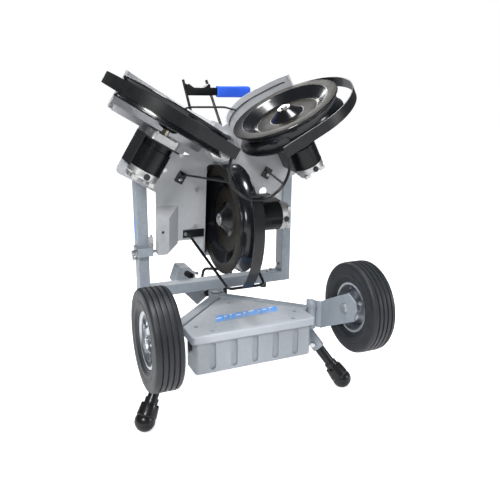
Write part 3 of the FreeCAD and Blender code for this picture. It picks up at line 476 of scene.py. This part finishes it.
def wheel_place(which):
    """Wheel coordinates to the machine: x out from the shot axis, y back, z towards the motor."""
    radial, motor = WHEEL_FRAMES[which]
    turn = Matrix((radial, (0, 1, 0), motor)).transposed().to_4x4()
    return HEAD @ turn


# ---------------------------------------------------------------- pieces
def throwing_wheels():
    """Moulded wheels with a dished front, a hub cone and a concave tread."""
    t, r = WHEEL_HALF, WHEEL_R
    flat, sag = t - 3.5, 11.5
    arc_r = (flat ** 2 + sag ** 2) / (2 * sag)
    middle = r - sag + arc_r
    tread = []
    for k in range(-14, 15):
        h = flat * k / 14
        tread.append((middle - math.sqrt(arc_r ** 2 - h ** 2), h))
    front = softened([
        (10.2, -t + 2.2, 0), (18.3, -t + 2.2, 0.8), (21.3, -t + 4, 1.6), (41.5, -9.4, 5), (49, -6, 4),
        (91.5, -6, 5), (98.5, -9.2, 4), (123.8, -t + 3.2, 3), (128, -t, 2), (r - 1.2, -t, 1),
        (r, -t + 1.6, 0.8), tread[0] + (0,)], 6)
    back = softened([
        tread[-1] + (0,), (r, t - 1.6, 0.8), (r - 1.2, t, 1), (122, t, 2.5), (114, 10, 5), (46, 10, 4),
        (34, 16, 4), (26, t + 4, 2), (17, t + 7.8, 2), (10.2, t + 7.8, 0)], 5)
    for which in WHEEL_FRAMES:
        work = bmesh.new()
        lathe(work, front + tread[1:-1] + back, (HUB_X, 0, 0), 144)
        node = which + "_throwing_wheel"
        piece(node + "_moulding", work, WHEEL_GLOSS, which + "_thrower",
              wheel_place(which), 50, hides=(node,))


def wheel_faces():
    """Dull urethane faces on the open side of each throwing wheel: the rim and the floor of the dish."""
    for which in WHEEL_FRAMES:
        work = bmesh.new()
        for inner, outer, h in ((128.6, WHEEL_R - 1.45, -WHEEL_HALF - 0.25), (50.5, 90.6, -6.3)):
            ring = softened([(inner, h + 0.9, 0), (inner, h, 0.3), (outer, h, 0.3), (outer, h + 0.9, 0)], 3)
            lathe(work, ring, (HUB_X, 0, 0), 144)
        piece(which + "_urethane_faces", work, URETHANE, which + "_thrower",
              wheel_place(which), 40)


def wheel_caps():
    """Zinc washer and socket screw at the front of each hub."""
    washer = softened([
        (6.2, -29.8, 0), (17.5, -29.8, 0.8), (18.4, -29.0, 0.5), (18.4, -27.2, 0.3), (6.2, -27.2, 0)])
    screw = softened([
        (0.3, -31.4, 0), (4.2, -31.4, 0.3), (4.6, -34.6, 0.4), (8.6, -34.9, 1.2), (9.6, -33.6, 0.8),
        (9.8, -29.9, 0.2), (0.3, -29.9, 0)])
    for which in WHEEL_FRAMES:
        work = bmesh.new()
        lathe(work, washer, (HUB_X, 0, 0), 72)
        lathe(work, screw, (HUB_X, 0, 0), 48)
        piece(which + "_hub_cap", work, ZINC, which + "_thrower", wheel_place(which), 40)


def tyres():
    """Tyres with four grooves in the tread and a raised band on each side wall."""
    half, outer = TYRE_HALF, TYRE_R
    tread = []
    for groove in (-19.5, -6.5, 6.5, 19.5):
        tread += [(outer, groove - 2.1, 0.7), (outer - 4.2, groove - 1.2, 0.8),
                  (outer - 4.2, groove + 1.2, 0.8), (outer, groove + 2.1, 0.7)]
    side = [
        (outer - 1.2, half - 5.5, 2.5), (outer - 5, half - 1.2, 3.0), (113, half, 3), (100, half - 0.2, 0.6),
        (99, half - 1.0, 0.6), (96, half - 1.0, 0.6), (95, half - 0.3, 0.6), (84, half - 1.5, 3),
        (76, half - 6.5, 3), (72.5, half - 7, 1.5), (69.8, half - 9.5, 1)]
    far = [(r, -h, s) for r, h, s in reversed(side)]
    profile = softened([(69.8, -half + 9.6, 0)] + far + tread + side + [(69.8, half - 9.6, 0)], 4)
    sideways = Matrix.Rotation(math.radians(90), 3, "Y")
    for word in ("left", "right"):
        work = bmesh.new()
        lathe(work, profile, (0, 0, 0), 128, sideways)
        wheel = word + "_transport_wheel"
        place = Matrix.Translation(pivot(wheel + "_spin"))
        piece(word + "_tyre_rubber", work, TYRE, wheel, place, 55, hides=(word + "_tyre",))


def grip():
    """Vinyl-dipped grip: a flattened rounded bar with a slanted end."""
    sides = 40
    middle_y = 239
    squareness = 0.36
    # along the bar, height of the middle, half depth and half height
    stations = [
        (42, 139, 8.2, 15.4), (43.0, 139, 9.6, 16.7), (46, 139, 10, 17.0), (90, 139, 10, 17.0),
        (132, 139, 10, 17.0), (142, 139.2, 10, 16.8), (146.5, 139.8, 9.7, 15.6), (149.5, 140.6, 9.0, 13.2),
        (151.6, 141.4, 7.0, 9.0), (152.7, 141.6, 3.0, 4.0)]
    work = bmesh.new()
    rings = []
    for x, z, half_y, half_z in stations:
        ring = []
        for k in range(sides):
            a = 2 * math.pi * k / sides
            c, s = math.cos(a), math.sin(a)
            y = middle_y + half_y * math.copysign(abs(c) ** squareness, c)
            ring.append(work.verts.new((x, y, z + half_z * math.copysign(abs(s) ** squareness, s))))
        rings.append(ring)
    for a, b in zip(rings, rings[1:]):
        for k in range(sides):
            n = (k + 1) % sides
            work.faces.new((a[k], a[n], b[n], b[k]))
    work.faces.new(list(reversed(rings[0])))
    work.faces.new(rings[-1])
    piece("grip_dipped_vinyl", work, BLUE, "head", HEAD, 60, hides=("handle_grip",))


def slanted_bar(work, x0, x1, y0, y1, z, slant, thick=0.35):
    """Thin parallelogram for the decals."""
    spots = [(x0, y0), (x1, y0), (x1 + slant, y1), (x0 + slant, y1)]
    low = [work.verts.new((x, y, z)) for x, y in spots]
    high = [work.verts.new((x, y, z + thick)) for x, y in spots]
    work.faces.new(list(reversed(low)))
    work.faces.new(high)
    for k in range(4):
        n = (k + 1) % 4
        work.faces.new((low[k], low[n], high[n], high[k]))


def lid_decal():
    """A band of slanted blocks, drawn in the lid's own plane."""
    blue = bmesh.new()
    white = bmesh.new()
    bars = ((-98, 24), (-71, 16), (-52, 13), (-36, 22), (-11, 15), (7, 25), (35, 12), (50, 21), (74, 22))
    for k, (x, wide) in enumerate(bars):
        low = -2 + 5 * (k % 3)
        slanted_bar(blue, x, x + wide, -17 + 3 * (k % 2), 19 - 2 * (k % 3), 0, 15)
        slanted_bar(white, x + 7, x + wide - 1, low, low + 4.4, 0.3, 1.6)
    slanted_bar(blue, -108, 92, -23, -20, 0, 1.4)
    place = SHIFT @ Matrix.Translation(mm(12, -200, 258.02)) @ Matrix.Rotation(math.radians(3), 4, "Z")
    piece("lid_band_blue", blue, DECAL_BLUE, "base", place, smooth=False)
    piece("lid_band_white", white, DECAL_WHITE, "base", place, smooth=False)


def upright_decal():
    """Five blocks up the outer side of the left upright."""
    work = bmesh.new()
    for k in range(5):
        slanted_bar(work, -32 + 13 * k, -22 + 13 * k, -12, 11, 0, 5, 0.3)
    # +x of the band runs up the upright and its face looks to -X
    turn = Matrix(((0, 0, -1), (0, 1, 0), (1, 0, 0))).to_4x4()
    place = SHIFT @ Matrix.Translation(mm(-248.52, 8, 485)) @ turn
    piece("upright_band_blue", work, DECAL_BLUE, "yoke", place, smooth=False)


def weld_beads():
    """Beads round the wheel arms' posts and the pivot, at the yoke's corners and along the gusset."""
    base = bmesh.new()
    yoke = bmesh.new()
    for sign in (-1, 1):
        corner = [(sign * 216.6, -20, 310.6), (sign * 216.6, 20, 310.6)]
        gusset = [(sign * 88, -98.6, 221.4), (sign * 22, -21.6, 221.4)]
        sweep(base, circle((sign * 218, -220, 258.6), 14.6), 1.7, 8, True, 0.18, 3)
        sweep(yoke, along(corner), 2.4, 10, False, 0.16, 3.2)
        sweep(base, along(gusset), 1.5, 8, False, 0.18, 3)
    sweep(yoke, circle((0, 0, 278.2), 21), 1.8, 8, True, 0.18, 3)
    piece("base_weld_beads", base, FRAME_PAINT, "base", SHIFT)
    piece("yoke_weld_beads", yoke, FRAME_PAINT, "yoke", SHIFT)


def motor_details():
    """Through-bolts, brush caps, seam bands and end lugs on each motor."""
    x = HUB_X
    out = turn_to((0, 0, -1))
    away = turn_to((0, 0, 1))
    lug_x, lug_y = 25.5, 22
    cap = softened([(0.4, 0, 0), (8.5, 0, 0.5), (8.5, 3.4, 1.0), (5.6, 4.4, 0.5), (0.4, 4.4, 0)])
    for which in WHEEL_FRAMES:
        bolts, caps, bands, lugs = bmesh.new(), bmesh.new(), bmesh.new(), bmesh.new()
        for sx in (-1, 1):
            for sy in (-1, 1):
                hex_head(bolts, (x + sx * 29, sy * 29, 52), out, 8, 3.4)
                hex_head(bolts, (x + sx * lug_x, sy * lug_y, 185.8), away, 7, 3)
        for sy in (-1, 1):
            lathe(caps, cap, (x, sy * 42.2, 166), 36, turn_to((0, sy, 0)))
        blocks(lugs, [((x + sx * lug_x, 0, 180.4), (17, 62, 11.2)) for sx in (-1, 1)], 1.6)
        for h in (94.6, 153.0):
            ring = [(42.6, h - 1.6, 0), (43.7, h - 1.2, 0.4), (43.7, h + 1.2, 0.4), (42.6, h + 1.6, 0)]
            lathe(bands, softened(ring), (x, 0, 0))
        place = wheel_place(which)
        piece(which + "_motor_bolts", bolts, ZINC, "head", place, 30)
        piece(which + "_motor_brush_caps", caps, BLACK_PLASTIC, "head", place, 40)
        piece(which + "_motor_end_lugs", lugs, CAST, "head", place, 45)
        piece(which + "_motor_bands", bands, CAN_BLACK, "head", place, 60)


def box_latch():
    """Dark over-centre latch on the supply box's left side."""
    work = bmesh.new()
    plate = ((-174.7, -260, 221), (3.4, 24, 30))
    lever = ((-177.9, -260, 214), (3.4, 16, 28))
    blocks(work, [plate, lever], 1.1)
    sweep(work, along([(-173.6, -262, 232), (-178.2, -262, 232)], 1), 2.2, 12)
    piece("box_side_latch", work, BLACK_PLASTIC, "base", SHIFT, 50)


def fender_shadow_lines():
    """Painted shadow: a dark tube along the inside of the folded edge on the open side of each upper wheel cover,
    standing in for the shadow under the fold.

    The cover's edge is a smooth curve through these points: out from the shot axis, back.
    """
    edge = [Vector((a, b, 0)) for a, b in (
        (47, 84), (52, 105), (65, 136), (95, 178), (134, 209), (180, 221), (230, 214), (280, 197), (303, 181),
        (317, 169))]
    inset, level, steps = 4.4, -31.2, 12
    path = []
    for a, b, c, d in zip(edge, edge[1:], edge[2:], edge[3:]):
        for k in range(steps):
            t = k / steps
            bend = 2 * a - 5 * b + 4 * c - d
            twist = 3 * b - 3 * c + d - a
            path.append(0.5 * (2 * b + (c - a) * t + bend * t * t + twist * t ** 3))
    inside = []
    for before, spot, after in zip(path, path[1:], path[2:]):
        run = (after - before).normalized()
        inside.append((spot.x + run.y * inset, spot.y - run.x * inset, level))
    for which in ("left", "right"):
        work = bmesh.new()
        # dark tube that paints in the fold's shadow
        sweep(work, inside, 1.8, 10)
        piece(which + "_fender_shadow_line", work, BLACK_PLASTIC, "head", wheel_place(which), 60)


def foot_collars():
    """Castellated collar where each rubber foot grips its leg."""
    ball = 27                 # height of a foot's ball, mm
    leans = {"left": (0.608, 0.559), "right": (-0.608, 0.559), "rear": (0, -0.35)}
    mounts = {"left": "front_left_foot", "right": "front_right_foot", "rear": "rear_foot"}
    collar = softened([(19.3, 47, 0), (24.4, 45.5, 1.2), (25.9, 31, 3), (27.5, 13, 1.5), (25.7, 9, 0)])
    for name, (lean_x, lean_y) in leans.items():
        work = bmesh.new()
        lathe(work, collar)
        for vert in work.verts:
            if vert.co.z > 40 and math.cos(6 * math.atan2(vert.co.y, vert.co.x)) > 0.35:
                vert.co.z -= 5
        middle = feet[mounts[name]] + Vector(mm(0, 0, ball))
        place = Matrix.Translation(middle) @ turn_to((lean_x, lean_y, 1)).to_4x4()
        piece(name + "_foot_collar", work, FOOT, "base", place, 40)


def dome_head(work, centre, base, r, height):
    """Pan-head screw with a small hex socket."""
    outline = softened([
        (r * 0.34, 0.2, 0), (r, 0, 0.3), (r, height * 0.45, height * 0.4), (r * 0.62, height, height * 0.3),
        (r * 0.36, height, 0.2), (r * 0.30, height * 0.5, 0)])
    lathe(work, outline, centre, 40, base)
    socket = [(0.05, 0.2), (r * 0.35, 0.2), (r * 0.31, height * 0.5), (0.05, height * 0.5)]
    lathe(work, socket, centre, 6, base)


def guard_screws():
    """Bright screws that hold the guard's feet to the head plate."""
    work = bmesh.new()
    front = turn_to((0, -1, 0))
    face_y = 77
    for x, z, r in ((-122, -88.5, 6.4), (153, -87.5, 6.4), (-104, -256, 5.8), (75, -262, 4.6)):
        dome_head(work, (x, face_y, z), front, r, 4.6)
    piece("guard_screws", work, ZINC, "head", HEAD, 45)


def control_details():
    """Fuse holder and blanking plug on the control box, and ribbed skirts round its knobs."""
    knob_in_box = Vector(mm(-18, 30, 40))
    box = Matrix.Translation(pivot("left_speed_knob_turn") - knob_in_box)
    fuse = bmesh.new()
    profile = softened([
        (0.3, 0, 0), (7.4, 0, 0.6), (7.4, 2.6, 0.8), (4.2, 3.2, 0.6), (4.0, 9.0, 0.8), (5.6, 10.2, 0.8),
        (5.6, 14.6, 1.6), (3.0, 16.4, 1.0), (0.3, 16.4, 0)])
    lathe(fuse, profile, (10.4, -14, 42), 40, turn_to((1, 0, -0.12)))
    piece("fuse_holder", fuse, ZINC, "yoke", box, 40)
    plug = bmesh.new()
    profile = softened([
        (0.3, 0, 0), (10.5, 0, 0.5), (10.5, 3.0, 1.2), (7.6, 4.4, 0.8), (7.2, 3.2, 0.5), (0.3, 3.2, 0)])
    lathe(plug, profile, (50, -30, -26), 48, turn_to((0, -1, 0)))
    piece("blanking_plug", plug, BLACK_PLASTIC, "yoke", box, 40)
    ribs, skirt_r = 24, 10.7
    for word in ("left", "lower", "right"):
        work = bmesh.new()
        for k in range(ribs):
            a = 2 * math.pi * k / ribs
            foot = Vector((skirt_r * math.cos(a), 3.0, skirt_r * math.sin(a)))
            tip = foot + Vector((-0.5 * math.cos(a), 8.6, -0.5 * math.sin(a)))
            sweep(work, along([foot, tip], 2), 0.8, 8)
        place = Matrix.Translation(pivot(word + "_speed_knob_turn"))
        piece(word + "_knob_ribs", work, BLACK_PLASTIC, word + "_knob", place)


def crossbar_nuts():
    """Two nuts on the crossbar's top at its right end."""
    work = bmesh.new()
    for x, y in ((176, -6), (192, 8)):
        hex_head(work, (x, y, 310.2), turn_to((0, 0, 1)), 10, 5)
    piece("crossbar_nuts", work, ZINC, "yoke", SHIFT, 30)


# ---------------------------------------------------------------- stage
def set_camera():
    """Front left three-quarter view, a little above the machine."""
    yaw, pitch, roll = math.radians(24.151), math.radians(-14.949), math.radians(0.461)
    eye = Vector((-0.61083, SWIVEL_Y - 1.61821, 0.86033))
    forward = Vector((math.sin(yaw) * math.cos(pitch), math.cos(yaw) * math.cos(pitch), math.sin(pitch)))
    side = Vector((math.cos(yaw), -math.sin(yaw), 0))
    up = side.cross(forward)
    right = side * math.cos(roll) + up * math.sin(roll)
    top = -side * math.sin(roll) + up * math.cos(roll)
    turn = Matrix((right, top, -forward)).transposed().to_4x4()
    cam = bpy.data.cameras.new("camera")
    cam.sensor_width = 36
    cam.lens = 41.4655
    cam.clip_start = 0.05
    cam.clip_end = 50
    obj = bpy.data.objects.new("camera", cam)
    bpy.context.scene.collection.objects.link(obj)
    obj.matrix_world = Matrix.Translation(eye) @ turn
    bpy.context.scene.camera = obj


def area_light(name, place, target, size, power, shine=1.0):
    data = bpy.data.lights.new(name, "AREA")
    data.shape = "DISK"
    data.size = size
    data.energy = power
    data.specular_factor = shine
    obj = bpy.data.objects.new(name, data)
    bpy.context.scene.collection.objects.link(obj)
    obj.location = place
    obj.rotation_euler = (Vector(target) - Vector(place)).to_track_quat("-Z", "Y").to_euler()


def build_floor():
    """Pale paper floor that glows only to the camera, so it meets the white backdrop without an edge."""
    mesh = bpy.data.meshes.new("floor")
    work = bmesh.new()
    bmesh.ops.create_grid(work, x_segments=24, y_segments=24, size=12)
    work.to_mesh(mesh)
    work.free()
    floor = bpy.data.objects.new("floor", mesh)
    bpy.context.scene.collection.objects.link(floor)
    g = Graph("floor_paper")
    tone = g.ramp(g.noise(3, 3), [(0.3, (0.90, 0.90, 0.90)), (0.7, (0.93, 0.93, 0.93))])
    g.bump([(g.noise(200, 2), 0.02, 0.0003)])
    g.shader.inputs["Emission Color"].default_value = (1, 1, 1, 1)
    glow = g.node("ShaderNodeMath", operation="MULTIPLY")
    glow.inputs[1].default_value = 0.6
    g.link(g.node("ShaderNodeLightPath").outputs["Is Camera Ray"], glow.inputs[0])
    g.link(glow.outputs[0], g.shader.inputs["Emission Strength"])
    mesh.materials.append(g.finish(tone, 0.85, specular=0.1))


def build_world():
    """White to the camera, dimmer and slightly blue as ambient light, and darker still in reflections."""
    world = bpy.data.worlds.new("studio")
    bpy.context.scene.world = world
    world.use_nodes = True
    tree = world.node_tree

    def background(node, colour, strength):
        node.inputs["Color"].default_value = (*colour, 1)
        node.inputs["Strength"].default_value = strength
        return node.outputs["Background"]

    def choose(ray, otherwise, chosen):
        mix = tree.nodes.new("ShaderNodeMixShader")
        tree.links.new(path.outputs[ray], mix.inputs[0])
        tree.links.new(otherwise, mix.inputs[1])
        tree.links.new(chosen, mix.inputs[2])
        return mix.outputs["Shader"]

    path = tree.nodes.new("ShaderNodeLightPath")
    backdrop = background(tree.nodes["Background"], (1, 1, 1), 1.0)
    ambient = background(tree.nodes.new("ShaderNodeBackground"), (0.93, 0.96, 1.0), 0.52)
    mirrored = background(tree.nodes.new("ShaderNodeBackground"), (0.9, 0.95, 1.0), 0.10)
    lighting = choose("Is Glossy Ray", ambient, mirrored)
    seen = choose("Is Camera Ray", lighting, backdrop)
    tree.links.new(seen, tree.nodes["World Output"].inputs["Surface"])


def build_lights():
    middle = (0, 0, 0.5)
    area_light("key", (-1.7, -2.1, 2.5), middle, 0.9, 74)
    area_light("fill", (2.3, -1.9, 1.1), middle, 0.7, 24)
    area_light("top", (-0.2, -0.3, 3.2), middle, 0.9, 66, shine=0.3)
    area_light("back", (0.6, 2.6, 2.2), (0, 0, 0.6), 1.4, 30)
    bpy.context.scene.view_settings.view_transform = "Standard"


paint_nodes()
throwing_wheels()
wheel_faces()
wheel_caps()
tyres()
grip()
lid_decal()
upright_decal()
weld_beads()
motor_details()
box_latch()
guard_screws()
foot_collars()
fender_shadow_lines()
control_details()
crossbar_nuts()
set_camera()
build_floor()
build_world()
build_lights()
